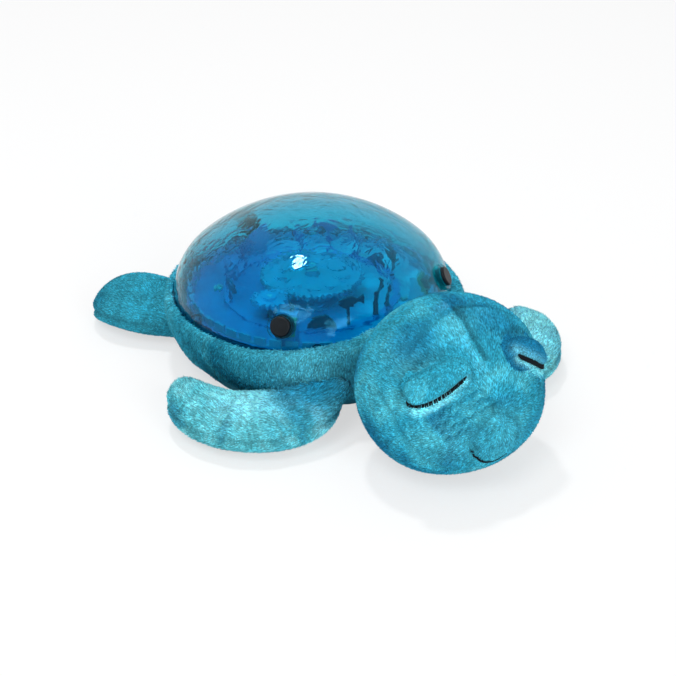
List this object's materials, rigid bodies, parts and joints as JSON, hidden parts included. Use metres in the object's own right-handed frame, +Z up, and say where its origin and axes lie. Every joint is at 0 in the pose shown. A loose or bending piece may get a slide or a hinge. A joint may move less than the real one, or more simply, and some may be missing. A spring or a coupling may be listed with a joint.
{
  "type": "plush turtle night light",
  "caption": "Stuffed sea turtle with a clear rippled dome for a shell; lamps and a geared ripple disc inside throw moving light on the ceiling, set by push buttons in the dome.",
  "frame": {"origin": "on the flat bottom of the lamp tub, straight under the crown of the dome", "axes": "+Z up, the head looks along -Y, the turtle's left is +X"},
  "size_m": [0.267, 0.335, 0.1065],
  "materials": {
    "clear_blue": "clear tinted moulding with a rippled surface",
    "tub_blue": "fine moulded texture",
    "deck_blue": "moulded",
    "scenery_dark": "moulded",
    "tower_blue": "moulded",
    "disc_clear": "clear blue moulding with lens bosses",
    "gear_blue": "moulded",
    "gear_case": "moulded",
    "lamp_lens": "clear cast lens",
    "board_green": "coated board",
    "chip_black": "moulded",
    "button_dark": "moulded",
    "steel": "plated",
    "cell_skin": "plain wrapped can",
    "magnet": "sintered",
    "cone_paper": "pressed",
    "plush_body": "short pile plush, mottled dye",
    "plush_head": "short pile plush, mottled dye",
    "plush_limb": "short pile plush, mottled dye"
  },
  "bodies": {
    "lamp_body": {"dome_shell": "clear_blue", "lamp_tub": "tub_blue", "battery_cells": "cell_skin", "battery_contacts": "steel", "deck_plate": "deck_blue", "light_baffle": "scenery_dark", "scenery_ring": "scenery_dark", "projector_tower": "tower_blue", "lamp_board": "board_green", "lamps": "lamp_lens", "disc_axle": "steel", "axle_ring": "steel", "gearbox": "gear_case", "motor": "steel", "speaker_basket": "steel", "speaker_cone": "cone_paper", "speaker_magnet": "magnet", "main_board": "board_green", "board_components": "chip_black", "dome_screws": "steel", "deck_screws": "steel", "board_screws": "steel", "push_switches": "chip_black", "switch_boards": "board_green", "body_plush": "plush_body", "head_plush": "plush_head", "eyelid_right": "plush_head", "eyelid_left": "plush_head", "flipper_front_right": "plush_limb", "flipper_front_left": "plush_limb", "flipper_rear_right": "plush_limb", "flipper_rear_left": "plush_limb", "tail_plush": "plush_limb"},
    "ripple_disc": {"ripple_disc": "disc_clear"},
    "drive_pinion": {"drive_pinion": "gear_blue", "output_shaft": "steel"},
    "button_rear": {"button_rear": "button_dark"},
    "button_front_left": {"button_front_left": "button_dark"},
    "button_front_right": {"button_front_right": "button_dark"},
    "battery_door": {"battery_door": "tub_blue", "door_screw": "steel"}
  },
  "joints": [
    {"name": "disc_spin", "type": "hinge", "parent": "lamp_body", "child": "ripple_disc", "pos_m": [0, 0, 0.0543], "axis": [0, 0, 1], "continuous": true},
    {"name": "pinion_spin", "type": "hinge", "parent": "lamp_body", "child": "drive_pinion", "pos_m": [-0.04059, -0.01477, 0.0543], "axis": [0, 0, 1], "continuous": true},
    {"name": "button_rear_press", "type": "slide", "parent": "lamp_body", "child": "button_rear", "axis": [0, -0.8858, -0.4641], "range_m": [0, 0.001], "stiffness_N_per_m": 1500},
    {"name": "button_front_left_press", "type": "slide", "parent": "lamp_body", "child": "button_front_left", "axis": [-0.6263, 0.6263, -0.4641], "range_m": [0, 0.001], "stiffness_N_per_m": 1500},
    {"name": "button_front_right_press", "type": "slide", "parent": "lamp_body", "child": "button_front_right", "axis": [0.6263, 0.6263, -0.4641], "range_m": [0, 0.001], "stiffness_N_per_m": 1500},
    {"name": "door_hinge", "type": "hinge", "parent": "lamp_body", "child": "battery_door", "pos_m": [0, 0.00545, 0.0022], "axis": [-1, 0, 0], "range_deg": [0, 75]}
  ],
  "couplings": [
    {"joint": "pinion_spin", "follows": "disc_spin", "ratio": -3}
  ]
}
